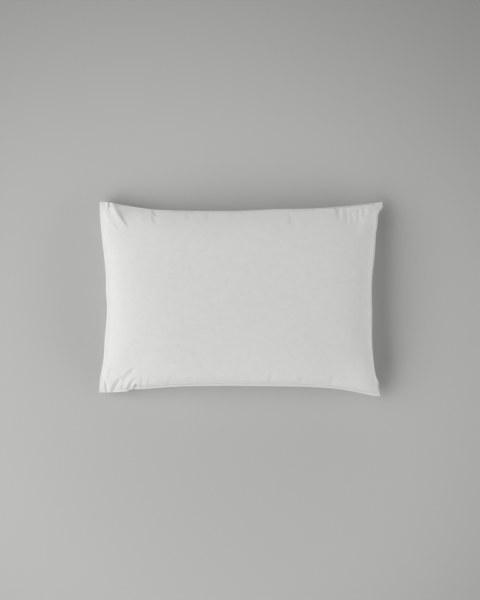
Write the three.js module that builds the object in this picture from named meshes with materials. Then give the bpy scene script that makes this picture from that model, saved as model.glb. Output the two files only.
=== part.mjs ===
// A pillow protector drawn over its pillow and lying on its back. Two cotton panels, sewn all round,
// make one filled solid: a broad crown above, a flat patch underneath where it rests, long sides and
// ends that draw in between the corners, and corners that the pillow inside doesn't quite fill.
//
// Millimetres. The origin is on the surface it lies on, under the middle of its overall length and
// width. +X runs along the length, +Y from the front long seam to the back one, +Z up.
import * as THREE from "three";

const crownHeight = 140; // middle of the crown above the surface
const lipWidth = 4; // sewn lip that stands out past the stitching
const lipThickness = 2.6; // two layers of cloth and what is turned in between them
const cellsAlongLength = 54;
const cellsAcrossWidth = 40;
const edgeCrowding = 1.55; // above 1, cells narrow towards the seams, where the cloth creases

// How full the cloth is from the middle (0) to the seam (1): (1 - t ** roundness) ** steepness.
const crown = {
  alongLength: { roundness: 2.8, steepness: 0.58 },
  acrossWidth: { roundness: 2.4, steepness: 0.58 },
};
const underside = {
  alongLength: { roundness: 3.6, steepness: 0.6 },
  acrossWidth: { roundness: 3.0, steepness: 0.6 },
  restingFrom: 0.86, // fullness at which the cloth meets the surface
  roundOff: 1.7, // how gently it leaves the surface
};

// x, y, z: the tip of the seam. slack: share of the fill that is missing there. reach: how far in.
const corners = {
  frontLeft: { x: -367, y: -242, z: 13, slack: 0.85, reach: 88 },
  frontRight: { x: 362, y: -253, z: 24, slack: 0.35, reach: 60 },
  backLeft: { x: -367, y: 253, z: 16, slack: 0.8, reach: 82 },
  backRight: { x: 367, y: 249, z: 28, slack: 0.4, reach: 62 },
};

// One row for each side, from its first corner to its second. bow: how far it draws in. peakAt: the
// share of the way along where that is greatest. fullness: above 2, the curve is flatter in the
// middle. tail: above 1, it leaves the corners straight. seamHeight: of the seam at its middle.
const sides = {
  front: { from: "frontLeft", to: "frontRight", inwardX: 0, inwardY: 1,
    bow: 22, peakAt: 0.62, fullness: 2.4, tail: 1, seamHeight: 58 },
  back: { from: "backLeft", to: "backRight", inwardX: 0, inwardY: -1,
    bow: 22.5, peakAt: 0.38, fullness: 2.4, tail: 1, seamHeight: 60 },
  left: { from: "frontLeft", to: "backLeft", inwardX: 1, inwardY: 0,
    bow: 19, peakAt: 0.45, fullness: 2, tail: 1.5, seamHeight: 54 },
  right: { from: "frontRight", to: "backRight", inwardX: -1, inwardY: 0,
    bow: 24.5, peakAt: 0.5, fullness: 2.5, tail: 1, seamHeight: 60 },
};
const seamRise = 0.7; // under 1, the seam climbs quickly away from the corners

// Beside the left corners, which the pillow doesn't reach, the cloth stands out straight for this
// length of the seam, and then steps back in.
const flaps = {
  front: { length: 84, stepOut: 4.5, stepRun: 16 },
  back: { length: 68, stepOut: 8, stepRun: 60 },
};

// Each fold starts at (x, y) and runs along its heading, in degrees anticlockwise from +X. Its trough
// is on that line, with a ridge beside it: on the left of the heading (1) or on the right (-1).
const folds = [
  { x: -328, y: 250, heading: -54, length: 96, trough: 7, ridge: 5, side: -1, spread: 8 },
  { x: -346, y: 248, heading: -96, length: 42, trough: 3, ridge: 1, side: 1, spread: 5 },
  { x: -348, y: 226, heading: -60, length: 58, trough: 2, ridge: 3, side: -1, spread: 7 },
  { x: -230, y: 232, heading: -50, length: 44, trough: 2.5, ridge: 2, side: 1, spread: 5 },
  { x: -350, y: -240, heading: 93, length: 56, trough: 4, ridge: 2, side: 1, spread: 5.5 },
  { x: -336, y: -240, heading: 48, length: 112, trough: 6, ridge: 4, side: 1, spread: 8 },
  { x: -294, y: -238, heading: 60, length: 66, trough: 4.5, ridge: 3.5, side: 1, spread: 7 },
  { x: 246, y: 234, heading: -62, length: 48, trough: 3, ridge: 2, side: 1, spread: 6 },
  { x: 273, y: 238, heading: -90, length: 52, trough: 2.5, ridge: 2, side: 1, spread: 6 },
  { x: 322, y: 240, heading: -106, length: 84, trough: 2, ridge: 2.5, side: 1, spread: 7 },
  { x: 236, y: -237, heading: 78, length: 46, trough: 2.5, ridge: 2.5, side: -1, spread: 6 },
  { x: -136, y: -158, heading: -44, length: 84, trough: 2, ridge: 1.5, side: 1, spread: 16 },
];
const foldStart = 0.12; // share of a fold's length over which it deepens, either side of its start
const foldFade = 0.3; // share of its length past which it fades away
const ridgeOffset = 1.7; // from the trough to the ridge beside it, in spreads
const thinCloth = 22; // where the panels are nearer than this, the lower one folds with the upper

const { lerp, clamp, degToRad } = THREE.MathUtils;

function smoothStep(from, to, value) {
  const t = clamp((value - from) / (to - from), 0, 1);
  return t * t * (3 - 2 * t);
}

// How far the corner cloth stands out of a side's curve, at a distance along the side.
function flapStep({ length, stepOut, stepRun }, along) {
  return stepOut * (1 - smoothStep(length - stepRun / 2, length + stepRun / 2, along));
}

// A point on the seam of one side, with t from 0 to 1 along it.
function seamPoint(name, t) {
  const side = sides[name];
  const first = corners[side.from];
  const last = corners[side.to];
  const bentShare = t ** (Math.log(0.5) / Math.log(side.peakAt)); // one half falls at peakAt
  const bow = side.bow * (1 - Math.abs(2 * bentShare - 1) ** side.fullness) ** side.tail;
  const sideLength = Math.hypot(last.x - first.x, last.y - first.y);
  const stepOut = flaps[name] ? flapStep(flaps[name], t * sideLength) : 0;
  const inwards = Math.max(0, bow - stepOut);
  const climb = side.seamHeight - (first.z + last.z) / 2;
  return new THREE.Vector3(
    lerp(first.x, last.x, t) + side.inwardX * inwards,
    lerp(first.y, last.y, t) + side.inwardY * inwards,
    lerp(first.z, last.z, t) + climb * Math.sin(Math.PI * t) ** seamRise,
  );
}

// The smooth sheet stretched between the four seams, with s and t from 0 to 1 along and across.
function betweenSeams(s, t) {
  const cornerShares = {
    frontLeft: (1 - s) * (1 - t),
    frontRight: s * (1 - t),
    backLeft: (1 - s) * t,
    backRight: s * t,
  };
  const point = new THREE.Vector3()
    .addScaledVector(seamPoint("front", s), 1 - t)
    .addScaledVector(seamPoint("back", s), t)
    .addScaledVector(seamPoint("left", t), 1 - s)
    .addScaledVector(seamPoint("right", t), s);
  for (const [name, share] of Object.entries(cornerShares)) {
    const { x, y, z } = corners[name];
    point.addScaledVector(new THREE.Vector3(x, y, z), -share);
  }
  return point;
}

const halfLength = (corners.backRight.x - corners.backLeft.x) / 2;
const halfWidth = (corners.backLeft.y - corners.frontLeft.y) / 2;
const lipShare = { alongLength: lipWidth / halfLength, acrossWidth: lipWidth / halfWidth };

// 1 in the middle of the pillow, 0 at the stitching and outside it.
function profile(position, shape, lip) {
  const t = Math.min(1, Math.abs(position) / (1 - lip));
  return (1 - t ** shape.roundness) ** shape.steepness;
}

function fullness(u, v, shape) {
  const alongLength = profile(u, shape.alongLength, lipShare.alongLength);
  const acrossWidth = profile(v, shape.acrossWidth, lipShare.acrossWidth);
  return alongLength * acrossWidth;
}

// The share of the fill that is left near the corners.
function filledShare(x, y) {
  return Object.values(corners).reduce((share, corner) => {
    const away = Math.hypot(x - corner.x, y - corner.y) / corner.reach;
    return share * (1 - corner.slack * Math.exp(-away * away));
  }, 1);
}

// How far one fold lifts or lowers the cloth at a point of the plan.
function foldHeight(fold, x, y) {
  const angle = degToRad(fold.heading);
  const share = ((x - fold.x) * Math.cos(angle) + (y - fold.y) * Math.sin(angle)) / fold.length;
  const leftwards = ((y - fold.y) * Math.cos(angle) - (x - fold.x) * Math.sin(angle)) / fold.spread;
  const depth = smoothStep(-foldStart, foldStart, share) * (1 - smoothStep(foldFade, 1, share));
  const trough = Math.exp(-(leftwards ** 2));
  const ridge = Math.exp(-((leftwards - fold.side * ridgeOffset) ** 2));
  return depth * (fold.ridge * ridge - fold.trough * trough);
}

// A point of the upper (1) or lower (-1) panel, with u and v from -1 to 1 along and across.
function clothPoint(u, v, panel) {
  const point = betweenSeams((u + 1) / 2, (v + 1) / 2);
  const seamLevel = point.z;
  const fill = filledShare(point.x, point.y);
  const rise = (crownHeight - seamLevel) * fullness(u, v, crown) * fill;
  const rested = Math.min(1, (fullness(u, v, underside) * fill) / underside.restingFrom);
  const drop = seamLevel * (1 - (1 - rested) ** underside.roundOff);
  const folded = folds.reduce((height, fold) => height + foldHeight(fold, point.x, point.y), 0);
  if (panel > 0) {
    point.z = seamLevel + rise + lipThickness / 2 + folded;
  } else {
    const together = Math.exp(-(rise + drop) / thinCloth);
    const halfLip = (lipThickness / 2) * (1 - rested);
    point.z = Math.max(0, seamLevel - drop - halfLip + folded * together);
  }
  return point;
}

// Grid lines crowd towards the seams, and the last cell before each seam is the lip.
function gridLine(position, cells, lip) {
  const stitching = 1 - 2 / cells;
  const distance = Math.abs(position) / stitching;
  if (distance > 1.001) return Math.sign(position);
  return Math.sign(position) * (1 - (1 - Math.min(1, distance)) ** edgeCrowding) * (1 - lip);
}

// Each cell of a box is two triangles, a b d and b c d. Those of its top and bottom are split along
// the other diagonal where that one points to the nearest corner, as the folds there do.
function splitTowardsCorners({ index, groups, attributes: { position } }) {
  for (const { start, count } of groups.slice(-2)) {
    for (let i = start; i < start + count; i += 6) {
      const [a, b, d, , c] = index.array.slice(i, i + 6);
      const middle = { x: position.getX(b) + position.getX(d), y: position.getY(b) + position.getY(d) };
      const run = { x: position.getX(d) - position.getX(b), y: position.getY(d) - position.getY(b) };
      if (middle.x * middle.y * run.x * run.y < 0) index.array.set([a, b, c, a, c, d], i);
    }
  }
}

// A box with a fine grid on its top and bottom, shaped into the two panels and the lip round them.
function protectorGeometry() {
  const geometry = new THREE.BoxGeometry(2, 2, 2, cellsAlongLength, cellsAcrossWidth, 1);
  splitTowardsCorners(geometry);
  const position = geometry.attributes.position;
  for (let i = 0; i < position.count; i += 1) {
    const u = gridLine(position.getX(i), cellsAlongLength, lipShare.alongLength);
    const v = gridLine(position.getY(i), cellsAcrossWidth, lipShare.acrossWidth);
    const point = clothPoint(u, v, Math.sign(position.getZ(i)));
    position.setXYZ(i, point.x, point.y, point.z);
  }
  geometry.computeVertexNormals();
  return geometry;
}

const cottonCloth = new THREE.MeshStandardMaterial({ color: 0xecebe8, roughness: 0.92, metalness: 0 });

const pillowProtector = new THREE.Mesh(protectorGeometry(), cottonCloth);
pillowProtector.name = "pillow_protector";

const model = new THREE.Group();
model.add(pillowProtector);

export default model;
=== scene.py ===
# A waterproof pillow protector drawn over its pillow, lying on its back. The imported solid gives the
# filled form: two cut panels are laid on it, settle as cloth, and are creased and sewn at a narrow lip.
# Metres. +X runs along the length, +Y from the front long seam to the back one, +Z up.
import math
import random

import bmesh
import bpy
import numpy as np
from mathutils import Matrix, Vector, noise
from mathutils.bvhtree import BVHTree


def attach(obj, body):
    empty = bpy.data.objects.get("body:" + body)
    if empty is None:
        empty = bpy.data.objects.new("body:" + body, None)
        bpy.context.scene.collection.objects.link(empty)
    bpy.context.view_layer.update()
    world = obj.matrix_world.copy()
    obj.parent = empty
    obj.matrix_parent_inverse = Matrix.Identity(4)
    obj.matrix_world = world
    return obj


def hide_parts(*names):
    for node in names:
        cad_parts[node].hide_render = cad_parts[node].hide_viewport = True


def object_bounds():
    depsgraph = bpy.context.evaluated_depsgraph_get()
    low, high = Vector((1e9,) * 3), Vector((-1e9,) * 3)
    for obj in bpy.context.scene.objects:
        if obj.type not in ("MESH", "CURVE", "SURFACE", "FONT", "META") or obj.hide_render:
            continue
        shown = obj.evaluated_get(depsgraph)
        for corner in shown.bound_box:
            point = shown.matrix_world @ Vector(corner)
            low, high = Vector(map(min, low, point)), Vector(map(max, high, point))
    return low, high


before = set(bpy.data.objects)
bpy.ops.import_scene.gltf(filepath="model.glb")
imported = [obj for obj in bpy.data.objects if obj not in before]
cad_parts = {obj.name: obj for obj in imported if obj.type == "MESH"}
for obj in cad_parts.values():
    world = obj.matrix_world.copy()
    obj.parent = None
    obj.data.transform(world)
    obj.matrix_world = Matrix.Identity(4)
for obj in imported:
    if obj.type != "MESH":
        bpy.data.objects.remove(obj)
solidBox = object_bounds()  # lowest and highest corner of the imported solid
coverNode = "pillow_protector"


# small helpers that every piece uses
def smoothStep(low, high, value):
    t = np.clip((value - low) / (high - low), 0, 1)
    return t * t * (3 - 2 * t)


def meshPoints(mesh):
    points = np.zeros(len(mesh.vertices) * 3)
    mesh.vertices.foreach_get("co", points)
    return points.reshape(-1, 3)


def setMeshPoints(mesh, points):
    mesh.vertices.foreach_set("co", np.asarray(points, np.float32).ravel())
    mesh.update()


def meshFrom(bm, name):
    mesh = bpy.data.meshes.new(name)
    bm.to_mesh(mesh)
    bm.free()
    return mesh


def addObject(name, data):
    piece = bpy.data.objects.new(name, data)
    bpy.context.scene.collection.objects.link(piece)
    return piece


# the outline of the sewn edge, seen from above
corners = {
    "frontLeft": (-0.3675, -0.2435),
    "frontRight": (0.3640, -0.2540),
    "backLeft": (-0.3665, 0.2510),
    "backRight": (0.3685, 0.2520),
}
# bow: how far a side draws in. peakAt: where along it that is greatest. fullness: above 2, flatter
# in the middle. tail: above 1, it leaves the corners straight. flap: the length beside its first
# corner that stands out straight by stepOut, and steps back in over stepRun. swells: where along
# it the cloth stands out (or in, below 0), by how much and how far to each side.
sides = {
    "front": {"ends": ("frontLeft", "frontRight"), "inward": (0, 1), "bow": 0.0235, "peakAt": 0.57,
              "fullness": 4.6, "tail": 2, "flap": 0.073, "stepOut": 0.0085, "stepRun": 0.014,
              "swells": ((0.078, -0.0035, 0.032), (0.255, 0.0015, 0.080))},
    "back": {"ends": ("backLeft", "backRight"), "inward": (0, -1), "bow": 0.0245, "peakAt": 0.435,
             "fullness": 2.2, "tail": 0.83, "flap": 0.092, "stepOut": 0.0065, "stepRun": 0.134,
             "swells": ((0.455, 0.0025, 0.067),)},
    "left": {"ends": ("frontLeft", "backLeft"), "inward": (1, 0), "bow": 0.021, "peakAt": 0.48,
             "fullness": 1.9, "tail": 2, "swells": ((0.087, -0.0035, 0.035), (0.263, 0.0025, 0.026))},
    "right": {"ends": ("frontRight", "backRight"), "inward": (-1, 0), "bow": 0.033, "peakAt": 0.54,
              "fullness": 2.2, "tail": 0.72,
              "swells": ((0.037, 0.0045, 0.010), (0.225, 0.0060, 0.080), (0.375, 0.0090, 0.075),
                         (0.448, 0.0025, 0.019), (0.491, 0.0075, 0.008))},
}


def sewnEdge(name, t):
    # points along one side, for an array t from 0 at its first corner to 1 at its second
    side = sides[name]
    first, last = (np.array(corners[end]) for end in side["ends"])
    along = t * math.dist(first, last)
    share = t ** (math.log(0.5) / math.log(side["peakAt"]))
    inwards = side["bow"] * (1 - np.abs(2 * share - 1) ** side["fullness"]) ** side["tail"]
    if "flap" in side:
        stepStart = side["flap"] - side["stepRun"] / 2
        step = smoothStep(stepStart, stepStart + side["stepRun"], along)
        inwards = np.maximum(0, inwards - side["stepOut"] * (1 - step))
    for place, outwards, reach in side["swells"]:
        inwards = inwards - outwards * np.exp(-(((along - place) / reach) ** 2))
    return first + (last - first) * t[:, None] + inwards[:, None] * np.array(side["inward"])


def planPoints(u, v):
    # the plan stretched between the four sides, for arrays u and v from -1 to 1
    s, t = (u + 1) / 2, (v + 1) / 2
    acrossPlan, upPlan = s[:, None], t[:, None]
    plan = sewnEdge("front", s) * (1 - upPlan) + sewnEdge("back", s) * upPlan
    plan += sewnEdge("left", t) * (1 - acrossPlan) + sewnEdge("right", t) * acrossPlan
    plan -= np.array(corners["frontLeft"]) * (1 - acrossPlan) * (1 - upPlan)
    plan -= np.array(corners["frontRight"]) * acrossPlan * (1 - upPlan)
    plan -= np.array(corners["backLeft"]) * (1 - acrossPlan) * upPlan
    plan -= np.array(corners["backRight"]) * acrossPlan * upPlan
    return plan


# the two panels, welded all round
panels = {
    "length": 0.754,  # between the stitch lines, before it is filled
    "width": 0.500,
    "settleCells": (126, 84),  # along and across, while the cloth settles
    "finishCells": (264, 176),  # along and across, in the finished piece
    "steepSides": 0.22,  # how far the cloth going down the sides is foreshortened, seen from above
    "steepPower": 4,  # how quickly that is lost towards the corners
    "seamLevel": 0.055,
    "crowding": 0.8,  # how much closer the finished cells lie near the seams, from 0 to 1
    "crowdingPower": 2,
    "mapShift": 0.6,  # from the upper panel to the lower one on the cloth's map
}
sewnLip = {
    "width": 0.004,  # past the stitch line
    # how far out a row of cells lies, as a share of the width, and half the lip's thickness there
    "rows": ((0, 0.0006), (0.12, 0.0009), (0.4, 0.0013), (0.75, 0.0012), (0.94, 0.0007), (1, 0)),
    # how far the outer edge hangs below the stitch line
    "droop": {"left": 0.0034, "right": 0.0030, "front": 0.0014, "back": 0.0008},
}
lipShare = np.array([sewnLip["width"] / solidBox[1].x, sewnLip["width"] / solidBox[1].y])


def weldedPanels(name, cells):
    # two grids in x and y from -1 to 1: the upper at z 1, the lower at z -1, their shared rim at 0
    bm = bmesh.new()
    bmesh.ops.create_grid(bm, x_segments=cells[0], y_segments=cells[1], size=1)
    upper = list(bm.verts)
    copied = bmesh.ops.duplicate(bm, geom=[*bm.verts, *bm.edges, *bm.faces])["geom"]
    bmesh.ops.reverse_faces(bm, faces=[item for item in copied if isinstance(item, bmesh.types.BMFace)])
    lower = [item for item in copied if isinstance(item, bmesh.types.BMVert)]
    bmesh.ops.translate(bm, verts=upper, vec=(0, 0, 1))
    bmesh.ops.translate(bm, verts=lower, vec=(0, 0, -1))
    rim = [v for v in bm.verts if max(abs(v.co.x), abs(v.co.y)) > 1 - 1e-6]
    for v in rim:
        v.co.z = 0
    bmesh.ops.remove_doubles(bm, verts=rim, dist=1e-6)
    return meshFrom(bm, name)


def crowded(position, power):
    return np.sign(position) * (1 - (1 - np.minimum(1, np.abs(position))) ** power)


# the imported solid's own folds, too broad for cloth: start x and y, heading in degrees, length,
# depth of the trough, height of the ridge, side of the ridge (1 left, -1 right) and half width
solidFolds = (
    (-0.328, 0.250, -54, 0.096, 0.0070, 0.0050, -1, 0.0080),
    (-0.348, 0.226, -60, 0.058, 0.0020, 0.0030, -1, 0.0070),
    (-0.336, -0.240, 48, 0.112, 0.0060, 0.0040, 1, 0.0080),
    (-0.294, -0.238, 60, 0.066, 0.0045, 0.0035, 1, 0.0070),
    (0.322, 0.240, -106, 0.084, 0.0020, 0.0025, 1, 0.0070),
    (-0.136, -0.158, -44, 0.084, 0.0020, 0.0015, 1, 0.0160),
)


foldSetsIn = 0.12  # share of a fold's length over which it deepens, either side of its start
foldFades = 0.3  # share of its length past which it fades away
ridgeOffset = 1.7  # from the trough to the ridge beside it, in half widths


def solidFoldHeights(plan):
    heights = np.zeros(len(plan))
    for x, y, heading, length, trough, ridge, side, halfWidth in solidFolds:
        east, north = plan[:, 0] - x, plan[:, 1] - y
        cosine, sine = math.cos(math.radians(heading)), math.sin(math.radians(heading))
        share = (east * cosine + north * sine) / length
        leftwards = (north * cosine - east * sine) / halfWidth
        profile = ridge * np.exp(-((leftwards - ridgeOffset * side) ** 2)) - trough * np.exp(-(leftwards**2))
        profile *= smoothStep(-foldSetsIn, foldSetsIn, share)
        heights += profile * (1 - smoothStep(foldFades, 1, share))
    return heights


def layOnSolid(u, v, panel):
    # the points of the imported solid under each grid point: its top for panel 1, its bottom for -1
    steepX = 1 + panels["steepSides"] * (1 - np.abs(v) ** panels["steepPower"])
    steepY = 1 + panels["steepSides"] * (1 - np.abs(u) ** panels["steepPower"])
    plan = planPoints(crowded(u, steepX) * (1 - lipShare[0]), crowded(v, steepY) * (1 - lipShare[1]))
    solid = bmesh.new()
    solid.from_mesh(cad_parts[coverNode].data)
    bmesh.ops.remove_doubles(solid, verts=solid.verts, dist=1e-6)
    tree = BVHTree.FromBMesh(solid)
    levels = np.zeros((2, len(plan)))
    for row, startHeight, towards in ((0, 1, -1), (1, -1, 1)):
        for i, (x, y) in enumerate(plan):
            hit = tree.ray_cast(Vector((x, y, startHeight)), Vector((0, 0, towards)))[0]
            if hit is None:  # a seam standing a little further out than the solid
                hit = tree.find_nearest(Vector((x, y, panels["seamLevel"])))[0]
            levels[row, i] = hit.z
    solid.free()
    levels[0] = np.maximum(levels[0] - solidFoldHeights(plan), levels[1])
    level = np.where(panel > 0, levels[0], np.where(panel < 0, levels[1], levels.mean(axis=0)))
    return np.column_stack([plan, level])


settling = {
    "frames": 30,
    "volume": 0.0342,  # cubic metres of fill, held while the cloth settles
    "pressure": 0.2,
    "vertexMass": 0.3,
    "stretch": 15,
    "shear": 5,
    "bending": 3,
    "damping": 8,
    "quality": 6,
    "furthest": 0.012,  # no point settles further than this
    "restingBelow": 0.001,  # what lies this low stays flat on the table
}


def settleCloth(mesh, start, flat):
    # the panels, cut flat, take up the filled form while the volume of the fill is held
    setMeshPoints(mesh, start)
    cloth = addObject("settling_cloth", mesh)
    cloth.shape_key_add(name="drawn_over")
    cutFlat = cloth.shape_key_add(name="cut_flat")
    cutFlat.data.foreach_set("co", np.asarray(flat, np.float32).ravel())
    held = (flat[:, 2] == 0) | ((flat[:, 2] < 0) & (start[:, 2] < settling["restingBelow"]))
    heldGroup = cloth.vertex_groups.new(name="held")
    heldGroup.add([int(i) for i in np.flatnonzero(held)], 1, "REPLACE")

    modifier = cloth.modifiers.new("settle", "CLOTH")
    modifier.point_cache.frame_end = settling["frames"]
    s = modifier.settings
    s.quality = settling["quality"]
    s.mass = settling["vertexMass"]
    s.tension_stiffness = s.compression_stiffness = settling["stretch"]
    s.shear_stiffness = settling["shear"]
    s.bending_stiffness = settling["bending"]
    s.tension_damping = s.compression_damping = s.shear_damping = settling["damping"]
    s.rest_shape_key = cutFlat
    s.use_pressure = s.use_pressure_volume = True
    s.uniform_pressure_force = settling["pressure"]
    s.target_volume = settling["volume"]
    s.effector_weights.gravity = 0
    s.vertex_group_mass = "held"

    scene = bpy.context.scene
    scene.frame_start, scene.frame_end = 1, settling["frames"]
    for step in range(1, settling["frames"] + 1):
        scene.frame_set(step)
    settled = meshPoints(cloth.evaluated_get(bpy.context.evaluated_depsgraph_get()).data)
    scene.frame_set(1)
    bpy.data.objects.remove(cloth)

    moved = settled - start
    distance = np.linalg.norm(moved, axis=1, keepdims=True)
    print(f"cloth settled: furthest {distance.max() * 1000:.1f} mm, highest {settled[:, 2].max():.4f} m")
    return start + moved * np.minimum(1, settling["furthest"] / np.maximum(distance, 1e-9))


def settledSheets():
    # the upper and the lower panel after settling, each as rows and columns of points
    columns, rows = panels["settleCells"]
    mesh = weldedPanels("settling_cloth", panels["settleCells"])
    u, v, panel = meshPoints(mesh).T
    points = layOnSolid(u, v, panel)
    flat = np.column_stack([u * panels["length"] / 2, v * panels["width"] / 2, panel * 1e-5])
    points = settleCloth(mesh, points, flat)
    column = np.rint((u + 1) / 2 * columns).astype(int)
    row = np.rint((v + 1) / 2 * rows).astype(int)
    sheets = {}
    for name, sign in (("upper", 1), ("lower", -1)):
        own = panel * sign >= 0
        sheets[name] = np.zeros((rows + 1, columns + 1, 3))
        sheets[name][row[own], column[own]] = points[own]
    return sheets


def sampleSheet(sheet, u, v):
    # a smooth reading of a settled sheet (cubic B-spline) for arrays u and v from -1 to 1
    padded = np.pad(sheet, ((1, 1), (1, 1), (0, 0)), mode="reflect", reflect_type="odd")
    readings = []
    for position, count in ((u, sheet.shape[1]), (v, sheet.shape[0])):
        exact = (position + 1) / 2 * (count - 1)
        first = np.clip(np.floor(exact).astype(int), 0, count - 2)
        f = exact - first
        weights = ((1 - f) ** 3, 4 - 6 * f**2 + 3 * f**3, 1 + 3 * f + 3 * f**2 - 3 * f**3, f**3)
        readings.append((first, [weight / 6 for weight in weights]))
    (column, columnWeights), (row, rowWeights) = readings
    total = np.zeros((len(u), 3))
    for i, rowWeight in enumerate(rowWeights):
        for j, columnWeight in enumerate(columnWeights):
            total += padded[row + i, column + j] * (rowWeight * columnWeight)[:, None]
    return total


def finishedLine(position, cells):
    # a finished grid line as its place between the stitch lines, -1 to 1, and its row on the lip
    lipRows = len(sewnLip["rows"]) - 1
    fromMiddle = np.abs(position) * cells / 2
    stitchLine = cells / 2 - lipRows
    t = np.minimum(1, fromMiddle / stitchLine)
    crowding = panels["crowding"]
    inside = (1 - crowding) * t + crowding * crowded(t, panels["crowdingPower"])
    return np.sign(position) * inside, np.rint(np.maximum(0, fromMiddle - stitchLine)).astype(int)


# creases, seen from above, each from its seam inwards on one even arc. start, heading in degrees,
# length and bend give the middle of the face that falls from the ridge, on its left (side 1) or right
# (-1), into the trough. fall: how wide that face is. back and run: how far the trough and the ridge
# take to level out. fade: the share of the length over which it all dies away.
creases = [
    # back left corner
    {"start": (-0.333, 0.257), "heading": -68, "length": 0.091, "bend": 20, "side": -1,
     "fall": 0.0045, "trough": 0.0014, "back": 0.006, "ridge": 0.0080, "run": 0.011, "fade": 0.5},
    {"start": (-0.344, 0.259), "heading": -86, "length": 0.043, "bend": -8, "side": -1,
     "fall": 0.0050, "trough": 0.0054, "back": 0.004, "ridge": 0.0024, "run": 0.004, "fade": 0.6},
    {"start": (-0.355, 0.226), "heading": -67, "length": 0.044, "bend": 0, "side": 1,
     "fall": 0.0060, "trough": 0.0004, "back": 0.005, "ridge": 0.0020, "run": 0.009},
    {"start": (-0.337, 0.228), "heading": -88, "length": 0.017, "bend": 0, "side": -1,
     "fall": 0.0040, "trough": 0.0014, "back": 0.003, "ridge": 0.0005, "run": 0.004},
    {"start": (-0.329, 0.194), "heading": -49, "length": 0.024, "bend": 0, "side": -1,
     "fall": 0.0060, "trough": 0.0003, "back": 0.004, "ridge": 0.0008, "run": 0.006},
    {"start": (-0.235, 0.237), "heading": -64, "length": 0.034, "bend": 12, "side": -1,
     "fall": 0.0045, "trough": 0.0046, "back": 0.0045, "ridge": 0.0008, "run": 0.004},
    {"start": (-0.231, 0.217), "heading": -75, "length": 0.030, "bend": 20, "side": -1,
     "fall": 0.0045, "trough": 0.0028, "back": 0.0045, "ridge": 0.0006, "run": 0.004},
    # front left corner
    {"start": (-0.350, -0.249), "heading": 93, "length": 0.052, "bend": 4, "side": 1,
     "fall": 0.0045, "trough": 0.0024, "back": 0.004, "ridge": 0.0009, "run": 0.004},
    {"start": (-0.343, -0.210), "heading": 98, "length": 0.034, "bend": -44, "side": 1,
     "fall": 0.0060, "trough": 0.0016, "back": 0.006, "ridge": 0.0005, "run": 0.005},
    {"start": (-0.339, -0.249), "heading": 74, "length": 0.067, "bend": -34, "side": 1,
     "fall": 0.0100, "trough": 0.0040, "back": 0.007, "ridge": 0.0010, "run": 0.008, "fade": 0.35},
    {"start": (-0.310, -0.233), "heading": 84, "length": 0.029, "bend": 0, "side": 1,
     "fall": 0.0055, "trough": 0.0014, "back": 0.005, "ridge": 0.0003, "run": 0.005},
    {"start": (-0.308, -0.211), "heading": 64, "length": 0.059, "bend": -52, "side": 1,
     "fall": 0.0085, "trough": 0.0032, "back": 0.007, "ridge": 0.0005, "run": 0.008, "fade": 0.4},
    {"start": (-0.295, -0.241), "heading": 84, "length": 0.053, "bend": -58, "side": 1,
     "fall": 0.0055, "trough": 0.0036, "back": 0.006, "ridge": 0.0006, "run": 0.005, "fade": 0.5},
    {"start": (-0.281, -0.243), "heading": 73, "length": 0.029, "bend": -10, "side": 1,
     "fall": 0.0050, "trough": 0.0060, "back": 0.0035, "ridge": 0.0020, "run": 0.004, "fade": 0.4},
    {"start": (-0.260, -0.233), "heading": 89, "length": 0.034, "bend": -9, "side": 1,
     "fall": 0.0055, "trough": 0.0014, "back": 0.005, "ridge": 0.0003, "run": 0.005},
    {"start": (-0.242, -0.231), "heading": 86, "length": 0.037, "bend": -7, "side": 1,
     "fall": 0.0060, "trough": 0.0011, "back": 0.006, "ridge": 0.0003, "run": 0.005},
    # back right corner
    {"start": (0.241, 0.247), "heading": -80, "length": 0.051, "bend": 8, "side": -1,
     "fall": 0.0085, "trough": 0.0044, "back": 0.009, "ridge": 0.0010, "run": 0.007},
    {"start": (0.266, 0.237), "heading": -81, "length": 0.049, "bend": -11, "side": -1,
     "fall": 0.0080, "trough": 0.0030, "back": 0.006, "ridge": 0.0007, "run": 0.006},
    {"start": (0.282, 0.226), "heading": -84, "length": 0.044, "bend": 0, "side": -1,
     "fall": 0.0080, "trough": 0.0022, "back": 0.0065, "ridge": 0.0007, "run": 0.006},
    {"start": (0.300, 0.229), "heading": -86, "length": 0.044, "bend": -18, "side": -1,
     "fall": 0.0080, "trough": 0.0021, "back": 0.0065, "ridge": 0.0005, "run": 0.006},
    {"start": (0.313, 0.232), "heading": -83, "length": 0.026, "bend": -21, "side": -1,
     "fall": 0.0065, "trough": 0.0024, "back": 0.005, "ridge": 0.0003, "run": 0.005},
    {"start": (0.326, 0.239), "heading": -98, "length": 0.084, "bend": -26, "side": 1,
     "fall": 0.0140, "trough": 0.0002, "back": 0.006, "ridge": 0.0032, "run": 0.009, "fade": 0.4},
    {"start": (0.345, 0.260), "heading": -90, "length": 0.026, "bend": 2, "side": 1,
     "fall": 0.0050, "trough": 0.0010, "back": 0.004, "ridge": 0.0055, "run": 0.005, "fade": 0.6},
    # front right corner
    {"start": (0.230, -0.223), "heading": 87, "length": 0.029, "bend": -15, "side": 1,
     "fall": 0.0070, "trough": 0.0024, "back": 0.010, "ridge": 0.0005, "run": 0.006},
]
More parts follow.
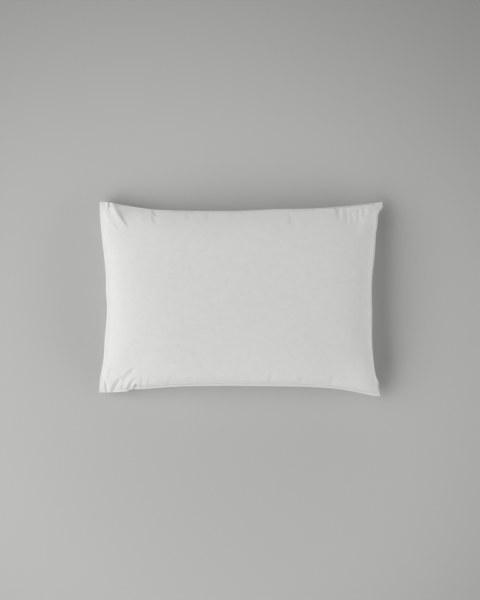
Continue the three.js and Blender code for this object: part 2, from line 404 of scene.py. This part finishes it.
# shallow pleats along the long seams: start x and y, heading, length, bend, side, trough
seamPleats = (
    (-0.193, -0.233, 80, 0.036, -17, 1, 0.0013),
    (-0.141, -0.231, 81, 0.032, 0, 1, 0.0010),
    (-0.069, -0.228, 83, 0.032, 28, 1, 0.0009),
    (0.016, -0.228, 89, 0.034, -19, 1, 0.0011),
    (0.068, -0.228, 78, 0.055, -2, 1, 0.0017),
    (0.148, -0.228, 80, 0.032, -7, 1, 0.0015),
    (-0.144, 0.232, -82, 0.036, 21, -1, 0.0013),
    (-0.092, 0.232, -73, 0.037, -40, -1, 0.0016),
    (0.037, 0.234, -82, 0.035, 14, -1, 0.0011),
    (0.117, 0.234, -59, 0.057, -52, -1, 0.0016),
    (0.184, 0.237, -82, 0.035, 14, -1, 0.0014),
)
pleatProfile = {"fall": 0.007, "back": 0.008, "ridge": 0.0004, "run": 0.006}
for x, y, heading, length, bend, side, trough in seamPleats:
    placed = {"start": (x, y), "heading": heading, "length": length, "bend": bend, "side": side}
    creases.append({**placed, "trough": trough, **pleatProfile})
creaseShape = {
    "pathSteps": 14,  # straight pieces along the arc
    "start": 0.06,  # share of the path over which a crease sets in
    "fade": 0.45,
    "reach": 0.05,  # metres past which a crease has no say
    "heldAtSeam": 0.75,  # what is left of a crease on the stitch line
    "seamRun": 0.005,  # metres in from the stitch line to its full depth
}


def creasePath(crease):
    # an even arc from its start, turning by its bend on the way
    steps = creaseShape["pathSteps"]
    headings = np.radians(crease["heading"] + crease["bend"] * (np.arange(steps) + 0.5) / steps)
    pieces = np.column_stack([np.cos(headings), np.sin(headings)]) * crease["length"] / steps
    return np.array(crease["start"]) + np.vstack([(0, 0), np.cumsum(pieces, axis=0)])


def alongAndAcross(path, place):
    # for each place, the nearest point's share of the path, and the distance from it, left positive
    steps = np.diff(path, axis=0)
    lengths = np.linalg.norm(steps, axis=1)
    nearest = np.full(len(place), np.inf)
    along = np.zeros(len(place))
    across = np.zeros(len(place))
    for start, step, length, before in zip(path, steps, lengths, np.cumsum(lengths) - lengths):
        offset = place - start
        t = np.clip(offset @ step / length**2, 0, 1)
        distance = np.linalg.norm(offset - t[:, None] * step, axis=1)
        leftwards = step[0] * offset[:, 1] - step[1] * offset[:, 0]
        closer = distance < nearest
        nearest[closer] = distance[closer]
        along[closer] = ((before + t * length) / lengths.sum())[closer]
        across[closer] = (distance * np.sign(leftwards))[closer]
    return along, across


def creaseProfile(crease, towardsRidge):
    halfFall = crease["fall"] / 2
    height = crease["trough"] + crease["ridge"]
    face = height * smoothStep(-halfFall, halfFall, towardsRidge) - crease["trough"]
    beyond = crease["ridge"] * np.exp(-(((towardsRidge - halfFall) / crease["run"]) ** 2))
    behind = -crease["trough"] * np.exp(-(((towardsRidge + halfFall) / crease["back"]) ** 2))
    return np.where(towardsRidge > halfFall, beyond, np.where(towardsRidge < -halfFall, behind, face))


def creaseHeights(place):
    heights = np.zeros(len(place))
    for crease in creases:
        path = creasePath(crease)
        low, high = path.min(axis=0) - creaseShape["reach"], path.max(axis=0) + creaseShape["reach"]
        near = ((place > low) & (place < high)).all(axis=1)
        along, across = alongAndAcross(path, place[near])
        setsIn = smoothStep(0, creaseShape["start"], along)
        diesAway = smoothStep(1 - crease.get("fade", creaseShape["fade"]), 1, along)
        heights[near] += creaseProfile(crease, across * crease["side"]) * setsIn * (1 - diesAway)
    return heights


# small puckers where the seam gathers the cloth, and the soft unevenness of the fill
puckers = {
    "seed": 7,
    "spacing": (0.011, 0.030),
    "reach": (0.012, 0.040),  # how far in from the seam
    "depth": (0.0002, 0.0007),
    "halfWidth": (0.0028, 0.0055),
    "slant": 0.35,
    "middleStrength": 0.4,  # beside the middle of a side, against 1 at the corners
    "setsInOver": 0.005,
    "reachAlong": 0.06,  # no pucker is felt further along its seam
}
fillLumps = {
    "sizes": ((0.150, 0.0014), (0.070, 0.0007), (0.030, 0.00026)),  # wavelength and height
    "setsInOver": 0.060,
    "shapeSetsInOver": 0.016,
}
# where the fill stands higher or lower: x and y, how far it reaches along x and y, and by how much
fillShape = (
    (-0.330, 0.215, 0.026, 0.032, 0.0070),
    (-0.345, -0.225, 0.020, 0.024, 0.0040),
    (-0.315, -0.165, 0.040, 0.050, 0.0060),
    (0.325, 0.210, 0.024, 0.036, 0.0090),
    (0.280, -0.080, 0.060, 0.075, 0.0065),
    (0.335, -0.195, 0.046, 0.056, 0.0150),
    (-0.075, -0.125, 0.140, 0.060, -0.0065),
    (0.130, 0.020, 0.090, 0.080, -0.0045),
)
seamWave = {"length": 0.045, "height": 0.0011, "reach": 0.012}
# how the panels are dressed. Each pair is the distance at which a change starts and the one at which
# it is complete
dressing = {
    "lipCloses": (0, 0.006),  # in from the stitch line: the two panels part
    "thinCover": (0.004, 0.022),  # between the panels: the lower one is no longer creased with the upper
    "ownLumps": (0.001, 0.008),  # between the panels: each has puckers and lumps of its own
    "aboveTable": (0, 0.020),  # above the table: the lower panel has its lumps
    "lowerFill": 0.3,  # how lumpy the lower panel is, against the upper one
}


def puckerHeights(along, inset, halfLength, draw):
    heights = np.zeros(len(along))
    at = -halfLength
    while at < halfLength:
        at += draw.uniform(*puckers["spacing"])
        reach = draw.uniform(*puckers["reach"])
        depth = draw.uniform(*puckers["depth"])
        halfWidth = draw.uniform(*puckers["halfWidth"])
        slant = draw.uniform(-puckers["slant"], puckers["slant"])
        strength = puckers["middleStrength"] + (1 - puckers["middleStrength"]) * (at / halfLength) ** 2
        near = (inset < 3 * reach) & (np.abs(along - at) < puckers["reachAlong"])
        across = (along[near] - at - slant * inset[near]) / (halfWidth * (1 + inset[near] / reach))
        heights[near] -= depth * strength * np.exp(-(across**2) - (inset[near] / reach) ** 2)
    return heights * smoothStep(0, puckers["setsInOver"], inset)


def gatheredSeams(u, v, seed):
    draw = random.Random(seed)
    halfLength, halfWidth = panels["length"] / 2, panels["width"] / 2
    heights = puckerHeights(u * halfLength, (1 + v) * halfWidth, halfLength, draw)
    heights += puckerHeights(u * halfLength, (1 - v) * halfWidth, halfLength, draw)
    heights += puckerHeights(v * halfWidth, (1 + u) * halfLength, halfWidth, draw)
    heights += puckerHeights(v * halfWidth, (1 - u) * halfLength, halfWidth, draw)
    return heights


def noiseHeights(points, wavelength, height):
    return np.array([noise.noise(Vector(point)) for point in points / wavelength]) * height


def fillHeights(points, inset):
    heights = np.zeros(len(points))
    for x, y, reachX, reachY, height in fillShape:
        away = ((points[:, 0] - x) / reachX) ** 2 + ((points[:, 1] - y) / reachY) ** 2
        heights += height * np.exp(-away)
    heights *= smoothStep(0, fillLumps["shapeSetsInOver"], inset)
    return heights + sum(noiseHeights(points, *size) for size in fillLumps["sizes"]) * smoothStep(
        0, fillLumps["setsInOver"], inset
    )


def dressPanels(mesh, sheets):
    # places every point of the finished panels, and returns each point's place between the stitch lines, its
    # panel and its row on the lip
    x, y, panel = meshPoints(mesh).T
    u, lipRowX = finishedLine(x, panels["finishCells"][0])
    v, lipRowY = finishedLine(y, panels["finishCells"][1])
    upper, lower = sampleSheet(sheets["upper"], u, v), sampleSheet(sheets["lower"], u, v)
    points = np.where(panel[:, None] >= 0, upper, lower)
    between = upper[:, 2] - lower[:, 2]
    inset = np.minimum((1 - np.abs(u)) * panels["length"] / 2, (1 - np.abs(v)) * panels["width"] / 2)

    # the lip runs out level past the stitch line, thick between its pinched stitches and its edge
    shares, halfThickness = np.array(sewnLip["rows"]).T
    stitchU, stitchV = u * (1 - lipShare[0]), v * (1 - lipShare[1])
    lipU = stitchU + np.sign(u) * lipShare[0] * shares[lipRowX]
    lipV = stitchV + np.sign(v) * lipShare[1] * shares[lipRowY]
    points[:, :2] += planPoints(lipU, lipV) - planPoints(stitchU, stitchV)
    onLip = np.maximum(lipRowX, lipRowY)
    thickness = halfThickness[onLip]
    opened = 1 - smoothStep(*dressing["lipCloses"], inset)
    points[:, 2] += panel * thickness * np.where(onLip > 0, 1, opened)
    droop = sewnLip["droop"]
    points[:, 2] -= shares[lipRowX] * np.where(u < 0, droop["left"], droop["right"])
    points[:, 2] -= shares[lipRowY] * np.where(v < 0, droop["front"], droop["back"])
    setMeshPoints(mesh, points)

    normals = np.zeros(len(points) * 3)
    mesh.vertex_normals.foreach_get("vector", normals)
    normals = normals.reshape(-1, 3)
    up = np.array([0, 0, 1])

    # creases take the lower panel along where the cover is thin
    thin = 1 - smoothStep(*dressing["thinCover"], between)
    held = smoothStep(0, creaseShape["seamRun"], inset)
    held = creaseShape["heldAtSeam"] + (1 - creaseShape["heldAtSeam"]) * held
    crease = creaseHeights(points[:, :2]) * held
    wave = noiseHeights(points * [1, 1, 0], seamWave["length"], seamWave["height"])
    wave *= np.exp(-inset / seamWave["reach"])
    upwards = up * thin[:, None] + normals * (1 - thin[:, None])
    follows = np.where(panel < 0, thin, 1)
    direction = np.where(panel[:, None] < 0, up, upwards)
    moves = direction * (crease * follows)[:, None] + up * wave[:, None]

    # puckers and lumps belong to each panel alone
    upperSeams, lowerSeams = (gatheredSeams(u, v, puckers["seed"] + more) for more in (0, 1))
    own = np.where(panel >= 0, upperSeams, lowerSeams)
    own += fillHeights(points, inset) * np.where(panel < 0, dressing["lowerFill"], 1)
    own *= smoothStep(*dressing["ownLumps"], between)
    above = points[:, 2] - settling["restingBelow"]
    own *= np.where(panel < 0, smoothStep(*dressing["aboveTable"], above), 1)
    moves += normals * own[:, None]
    points = points + moves
    points[:, 2] = np.maximum(points[:, 2], 0)
    setMeshPoints(mesh, points)
    return u, v, panel, lipRowX, lipRowY


def addClothMap(mesh, u, v, panel, lipRowX, lipRowY):
    # the cloth's own map, in metres as cut: the lower panel lies above the upper one
    shares = np.array(sewnLip["rows"])[:, 0]
    cutX = u * panels["length"] / 2 + np.sign(u) * shares[lipRowX] * sewnLip["width"]
    cutY = v * panels["width"] / 2 + np.sign(v) * shares[lipRowY] * sewnLip["width"]
    corner = np.zeros(len(mesh.loops), int)
    mesh.loops.foreach_get("vertex_index", corner)
    owner = np.repeat(np.arange(len(mesh.polygons)), 4)
    facePanel = np.bincount(owner, panel[corner])
    shift = np.where(facePanel[owner] < 0, panels["mapShift"], 0)
    places = np.column_stack([cutX[corner], cutY[corner] + shift])
    clothMap = mesh.uv_layers.new(name="clothMap")
    clothMap.uv.foreach_set("vector", places.astype(np.float32).ravel())


def makeCover(material):
    sheets = settledSheets()
    print("panels laid on the solid and settled")
    mesh = weldedPanels("cotton_cover", panels["finishCells"])
    laid = dressPanels(mesh, sheets)
    addClothMap(mesh, *laid)
    mesh.polygons.foreach_set("use_smooth", [True] * len(mesh.polygons))
    mesh.materials.append(material)
    cover = addObject("cotton_cover", mesh)
    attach(cover, "root")
    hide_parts(coverNode)
    print(f"cover finished with {len(mesh.polygons)} faces")
    return cover


# the lockstitch that closes the cover, just inside its lip, on both faces
stitching = {
    "pitch": 0.0030,
    "length": 0.0024,
    "threadRadius": 0.00022,
    "sunk": 0.00004,  # how deep the thread beds in the cloth
    "ringSides": 6,
    "ringRows": 4,
}


def stitchLinePoints(cover, sign):
    # the finished stitch line of one panel, all the way round, read from the cover's own mesh
    columns, rows = panels["finishCells"]
    reference = meshPoints(weldedPanels("stitch_reference", panels["finishCells"]))
    _, lipRowX = finishedLine(reference[:, 0], columns)
    _, lipRowY = finishedLine(reference[:, 1], rows)
    lipRows = len(sewnLip["rows"]) - 1
    edgeX, edgeY = 1 - 2 * lipRows / columns, 1 - 2 * lipRows / rows
    x, y, panel = reference.T
    onLine = (panel == sign) & (lipRowX == 0) & (lipRowY == 0)
    onLine &= (np.abs(np.abs(x) - edgeX) < 1e-4) | (np.abs(np.abs(y) - edgeY) < 1e-4)
    chosen = np.flatnonzero(onLine)
    around = np.arctan2(y[chosen] / edgeY, x[chosen] / edgeX)
    ordered = chosen[np.argsort(around)]
    points = meshPoints(cover.data)[ordered]
    points[:, 2] += sign * (stitching["threadRadius"] - stitching["sunk"])
    return points


def stitchNodes():
    # one small rounded stitch at every pitch along a closed line, turned along it
    tree = bpy.data.node_groups.new("rowOfStitches", "GeometryNodeTree")
    tree.interface.new_socket("Geometry", in_out="INPUT", socket_type="NodeSocketGeometry")
    tree.interface.new_socket("Geometry", in_out="OUTPUT", socket_type="NodeSocketGeometry")
    nodes, links = tree.nodes, tree.links
    groupIn, groupOut = nodes.new("NodeGroupInput"), nodes.new("NodeGroupOutput")
    resample = nodes.new("GeometryNodeResampleCurve")
    resample.mode = "LENGTH"
    resample.inputs["Length"].default_value = stitching["pitch"]
    thread = nodes.new("GeometryNodeMeshUVSphere")
    thread.inputs["Segments"].default_value = stitching["ringSides"]
    thread.inputs["Rings"].default_value = stitching["ringRows"]
    thread.inputs["Radius"].default_value = stitching["threadRadius"]
    longer = nodes.new("GeometryNodeTransform")
    longer.inputs["Scale"].default_value = (1, 1, stitching["length"] / 2 / stitching["threadRadius"])
    tangent = nodes.new("GeometryNodeInputTangent")
    turn = nodes.new("FunctionNodeAlignRotationToVector")
    turn.axis = "Z"
    place = nodes.new("GeometryNodeInstanceOnPoints")
    realize = nodes.new("GeometryNodeRealizeInstances")
    links.new(groupIn.outputs[0], resample.inputs["Curve"])
    links.new(thread.outputs["Mesh"], longer.inputs["Geometry"])
    links.new(tangent.outputs[0], turn.inputs["Vector"])
    links.new(resample.outputs["Curve"], place.inputs["Points"])
    links.new(longer.outputs["Geometry"], place.inputs["Instance"])
    links.new(turn.outputs["Rotation"], place.inputs["Rotation"])
    links.new(place.outputs["Instances"], realize.inputs["Geometry"])
    links.new(realize.outputs["Geometry"], groupOut.inputs[0])
    return tree


def makeStitching(cover, material):
    rowOfStitches = stitchNodes()
    for name, sign in (("upper_stitching", 1), ("lower_stitching", -1)):
        points = stitchLinePoints(cover, sign)
        line = bpy.data.curves.new(name, "CURVE")
        line.dimensions = "3D"
        spline = line.splines.new("POLY")
        spline.points.add(len(points) - 1)
        spline.points.foreach_set("co", np.column_stack([points, np.ones(len(points))]).ravel())
        spline.use_cyclic_u = True
        route = addObject("stitch_route", line)
        route.modifiers.new("stitches", "NODES").node_group = rowOfStitches
        evaluated = route.evaluated_get(bpy.context.evaluated_depsgraph_get())
        mesh = bpy.data.meshes.new_from_object(evaluated)
        bpy.data.objects.remove(route)
        mesh.polygons.foreach_set("use_smooth", [True] * len(mesh.polygons))
        mesh.materials.clear()
        mesh.materials.append(material)
        piece = addObject(name, mesh)
        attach(piece, "root")
    bpy.data.node_groups.remove(rowOfStitches)
    print("lockstitch sewn round both faces")


# finishes
def newGroup(name, inputs, outputs):
    group = bpy.data.node_groups.new(name, "ShaderNodeTree")
    for socketName, kind, value in inputs:
        socket = group.interface.new_socket(socketName, in_out="INPUT", socket_type=kind)
        if value is not None:
            socket.default_value = value
    for socketName, kind in outputs:
        group.interface.new_socket(socketName, in_out="OUTPUT", socket_type=kind)
    return group, group.nodes.new("NodeGroupInput").outputs, group.nodes.new("NodeGroupOutput").inputs


def mathNode(tree, operation, *values):
    node = tree.nodes.new("ShaderNodeMath")
    node.operation = operation
    for socket, value in zip(node.inputs, values):
        if isinstance(value, bpy.types.NodeSocket):
            tree.links.new(value, socket)
        else:
            socket.default_value = value
    return node.outputs[0]


def noiseNode(tree, vector, scale, detail, roughness):
    node = tree.nodes.new("ShaderNodeTexNoise")
    tree.links.new(vector, node.inputs["Vector"])
    for name, value in (("Scale", scale), ("Detail", detail), ("Roughness", roughness)):
        if isinstance(value, bpy.types.NodeSocket):
            tree.links.new(value, node.inputs[name])
        else:
            node.inputs[name].default_value = value
    return node.outputs["Fac"]


def plainWeaveGroup():
    # warp and weft yarns passing over and under each other
    group, inputs, outputs = newGroup(
        "plainWeave",
        [("Map", "NodeSocketVector", None), ("Yarns per metre", "NodeSocketFloat", 1400.0)],
        [("Height", "NodeSocketFloat")],
    )
    split = group.nodes.new("ShaderNodeSeparateXYZ")
    group.links.new(inputs["Map"], split.inputs[0])
    waves = []
    for axis in ("X", "Y"):
        turns = mathNode(group, "MULTIPLY", split.outputs[axis], inputs["Yarns per metre"])
        waves.append(mathNode(group, "SINE", mathNode(group, "MULTIPLY", turns, math.pi)))
    warpRound, weftRound = (mathNode(group, "ABSOLUTE", wave) for wave in waves)
    over = mathNode(group, "MULTIPLY", *waves)
    over = mathNode(group, "MULTIPLY_ADD", over, 4.0, 0.5)
    over = mathNode(group, "MINIMUM", mathNode(group, "MAXIMUM", over, 0.0), 1.0)
    warp = mathNode(group, "MULTIPLY", warpRound, over)
    weft = mathNode(group, "MULTIPLY", weftRound, mathNode(group, "SUBTRACT", 1.0, over))
    group.links.new(mathNode(group, "ADD", warp, weft), outputs["Height"])
    return group


def brushedMottleGroup():
    # soft clouding of a raised nap: broad patches, smaller ones, and the fine fuzz itself
    group, inputs, outputs = newGroup(
        "brushedMottle",
        [("Vector", "NodeSocketVector", None), ("Patches per metre", "NodeSocketFloat", 60.0),
         ("Fuzz per metre", "NodeSocketFloat", 900.0)],
        [("Mottle", "NodeSocketFloat"), ("Fuzz", "NodeSocketFloat")],
    )
    patches = noiseNode(group, inputs["Vector"], inputs["Patches per metre"], 3.0, 0.6)
    fuzz = noiseNode(group, inputs["Vector"], inputs["Fuzz per metre"], 2.0, 0.7)
    group.links.new(patches, outputs["Mottle"])
    group.links.new(fuzz, outputs["Fuzz"])
    return group


def placeGroup(tree, group, **values):
    node = tree.nodes.new("ShaderNodeGroup")
    node.node_tree = group
    for name, value in values.items():
        socket = node.inputs[name.replace("_", " ")]
        if isinstance(value, bpy.types.NodeSocket):
            tree.links.new(value, socket)
        else:
            socket.default_value = value
    return node.outputs


def newMaterial(name, settings):
    material = bpy.data.materials.new(name)
    material.use_nodes = True
    shader = material.node_tree.nodes["Principled BSDF"]
    for socketName, value in settings.items():
        shader.inputs[socketName].default_value = value
    return material, material.node_tree, shader


def toneNode(tree, mask, dark, light):
    node = tree.nodes.new("ShaderNodeMix")
    node.data_type = "RGBA"
    tree.links.new(mask, node.inputs["Factor"])
    for socket, tone in ((node.inputs[6], dark), (node.inputs[7], light)):
        if isinstance(tone, bpy.types.NodeSocket):
            tree.links.new(tone, socket)
        else:
            socket.default_value = (*tone, 1)
    return node.outputs[2]


def bumpNode(tree, height, distance, strength, normal=None):
    node = tree.nodes.new("ShaderNodeBump")
    node.inputs["Distance"].default_value = distance
    node.inputs["Strength"].default_value = strength
    tree.links.new(height, node.inputs["Height"])
    if normal is not None:
        tree.links.new(normal, node.inputs["Normal"])
    return node.outputs["Normal"]


clothFinish = {
    "dark": (0.775, 0.775, 0.765),
    "light": (0.885, 0.885, 0.875),
    "yarnsPerMetre": 1400.0,
    "patchesPerMetre": 60.0,
    "fuzzPerMetre": 900.0,
    "fuzzShare": 0.35,  # of the change in tone: the rest is the mottle's
    # how deep each looks, and how strongly it shows
    "weave": (0.00012, 0.6),
    "fuzz": (0.00030, 0.7),
    "mottle": (0.00110, 1),
    "roughness": (0.84, 0.96),
    "shader": {"Sheen Weight": 0.25, "Sheen Roughness": 0.5, "Specular IOR Level": 0.2},
}


def clothMaterial(weave, mottle):
    material, tree, shader = newMaterial("brushed_cotton", clothFinish["shader"])
    clothMap = tree.nodes.new("ShaderNodeUVMap")
    clothMap.uv_map = "clothMap"
    place = tree.nodes.new("ShaderNodeTexCoord").outputs["Object"]
    yarns = placeGroup(tree, weave, Map=clothMap.outputs[0], Yarns_per_metre=clothFinish["yarnsPerMetre"])
    nap = placeGroup(
        tree, mottle, Vector=place, Patches_per_metre=clothFinish["patchesPerMetre"],
        Fuzz_per_metre=clothFinish["fuzzPerMetre"],
    )
    mottled = mathNode(tree, "MULTIPLY", nap["Mottle"], 1 - clothFinish["fuzzShare"])
    tone = mathNode(tree, "MULTIPLY_ADD", nap["Fuzz"], clothFinish["fuzzShare"], mottled)
    cloth = toneNode(tree, tone, clothFinish["dark"], clothFinish["light"])
    tree.links.new(cloth, shader.inputs["Base Color"])
    low, high = clothFinish["roughness"]
    rough = mathNode(tree, "MULTIPLY_ADD", nap["Fuzz"], high - low, low)
    tree.links.new(rough, shader.inputs["Roughness"])
    normal = bumpNode(tree, nap["Mottle"], *clothFinish["mottle"])
    normal = bumpNode(tree, nap["Fuzz"], *clothFinish["fuzz"], normal)
    normal = bumpNode(tree, yarns["Height"], *clothFinish["weave"], normal)
    tree.links.new(normal, shader.inputs["Normal"])
    return material


threadFinish = {
    "dark": (0.790, 0.790, 0.780),
    "light": (0.850, 0.850, 0.840),
    "fibresPerMetre": 4000.0,
    "depth": 0.00004,
    "shader": {"Roughness": 0.7, "Sheen Weight": 0.1, "Specular IOR Level": 0.35},
}


def threadMaterial(mottle):
    material, tree, shader = newMaterial("sewing_thread", threadFinish["shader"])
    place = tree.nodes.new("ShaderNodeTexCoord").outputs["Object"]
    fibres = placeGroup(
        tree, mottle, Vector=place, Patches_per_metre=clothFinish["patchesPerMetre"],
        Fuzz_per_metre=threadFinish["fibresPerMetre"],
    )
    colour = toneNode(tree, fibres["Fuzz"], threadFinish["dark"], threadFinish["light"])
    tree.links.new(colour, shader.inputs["Base Color"])
    tree.links.new(bumpNode(tree, fibres["Fuzz"], threadFinish["depth"], 0.5), shader.inputs["Normal"])
    return material


floor = {
    "halfSize": 12,
    "below": 0.0004,
    "dark": (0.575, 0.582, 0.564),
    "light": (0.584, 0.592, 0.573),
    # painted light: the floor is lighter in a pool round the pillow and darker away from it, standing in for
    # the lamps' fall-off
    "far": (0.316, 0.320, 0.310),  # painted shade: the floor's tone darkened away from a painted pool of light round the pillow
    "paintedLightPoolCentre": (-0.10, -0.24, 0),
    "paintedLightPoolEdge": (0.52, 1.56),  # how far from its centre the painted pool of light starts to fade into painted shade, and where that stops
    "patchesPerMetre": 4.0,
    "grainPerMetre": 300.0,
    "shader": {"Roughness": 0.9, "Specular IOR Level": 0.2},
}


def makeFloor(mottle):
    bm = bmesh.new()
    bmesh.ops.create_grid(bm, x_segments=1, y_segments=1, size=floor["halfSize"])
    bmesh.ops.translate(bm, verts=bm.verts, vec=(0, 0, -floor["below"]))
    material, tree, shader = newMaterial("pale_grey_floor", floor["shader"])
    place = tree.nodes.new("ShaderNodeTexCoord").outputs["Object"]
    grain = placeGroup(
        tree, mottle, Vector=place, Patches_per_metre=floor["patchesPerMetre"],
        Fuzz_per_metre=floor["grainPerMetre"],
    )
    # painted light: the floor's tone darkens with distance from the pool's centre, in place of the lamps'
    # fall-off
    fromCentre = tree.nodes.new("ShaderNodeVectorMath")
    fromCentre.operation = "DISTANCE"
    tree.links.new(place, fromCentre.inputs[0])
    fromCentre.inputs[1].default_value = floor["paintedLightPoolCentre"]
    edge = tree.nodes.new("ShaderNodeMapRange")
    edge.interpolation_type = "SMOOTHSTEP"
    edge.inputs["From Min"].default_value, edge.inputs["From Max"].default_value = floor["paintedLightPoolEdge"]
    tree.links.new(fromCentre.outputs["Value"], edge.inputs["Value"])
    paper = toneNode(tree, grain["Mottle"], floor["dark"], floor["light"])
    # the mottled floor tone, darkened by painted shade away from the painted pool of light
    tone = toneNode(tree, edge.outputs["Result"], paper, floor["far"])
    tree.links.new(tone, shader.inputs["Base Color"])
    mesh = meshFrom(bm, "floor")
    mesh.materials.append(material)
    addObject("floor", mesh)


# light and camera
studio = {
    "ambient": 0.083,
    "aim": (0, 0, 0.05),
    "lamps": {
        "key_light": {"azimuth": 196, "elevation": 42, "distance": 4, "size": (7, 3), "watts": 186},
        "right_fill": {"azimuth": 340, "elevation": 17, "distance": 4, "size": (5, 2.2), "watts": 77},
        "back_fill": {"azimuth": 60, "elevation": 9, "distance": 4, "size": (6, 1.2), "watts": 58},
        "left_back_fill": {"azimuth": 120, "elevation": 9, "distance": 4, "size": (6, 1.2), "watts": 20},
    },
}
camera = {"lens": 200, "sensor": 36, "across": 1.5545, "seamLevel": 0.05, "centre": (-0.0020, -0.0033)}


def makeLight(name, light):
    # azimuth turns anticlockwise from +X, seen from above
    azimuth, elevation = math.radians(light["azimuth"]), math.radians(light["elevation"])
    away = Vector((
        math.cos(azimuth) * math.cos(elevation),
        math.sin(azimuth) * math.cos(elevation),
        math.sin(elevation),
    ))
    data = bpy.data.lights.new(name, "AREA")
    data.shape = "RECTANGLE"
    data.size, data.size_y = light["size"]
    data.energy = light["watts"]
    lamp = addObject(name, data)
    lamp.location = Vector(studio["aim"]) + away * light["distance"]
    lamp.rotation_euler = away.to_track_quat("Z", "Y").to_euler()
    lamp.visible_camera = False


def makeStudio():
    scene = bpy.context.scene
    world = bpy.data.worlds.new("studio")
    world.use_nodes = True
    background = world.node_tree.nodes["Background"]
    background.inputs["Color"].default_value = (1, 1, 1, 1)
    background.inputs["Strength"].default_value = studio["ambient"]
    scene.world = world
    for name, lamp in studio["lamps"].items():
        makeLight(name, lamp)
    scene.view_settings.view_transform = "Standard"
    data = bpy.data.cameras.new("camera")
    data.lens = camera["lens"]
    data.sensor_width = camera["sensor"]
    eye = addObject("camera", data)
    height = camera["seamLevel"] + camera["across"] * camera["lens"] / camera["sensor"]
    eye.location = (*camera["centre"], height)
    scene.camera = eye


weaveGroup = plainWeaveGroup()
mottleGroup = brushedMottleGroup()
cover = makeCover(clothMaterial(weaveGroup, mottleGroup))
makeStitching(cover, threadMaterial(mottleGroup))
makeFloor(mottleGroup)
makeStudio()
print("floor, light and camera set")
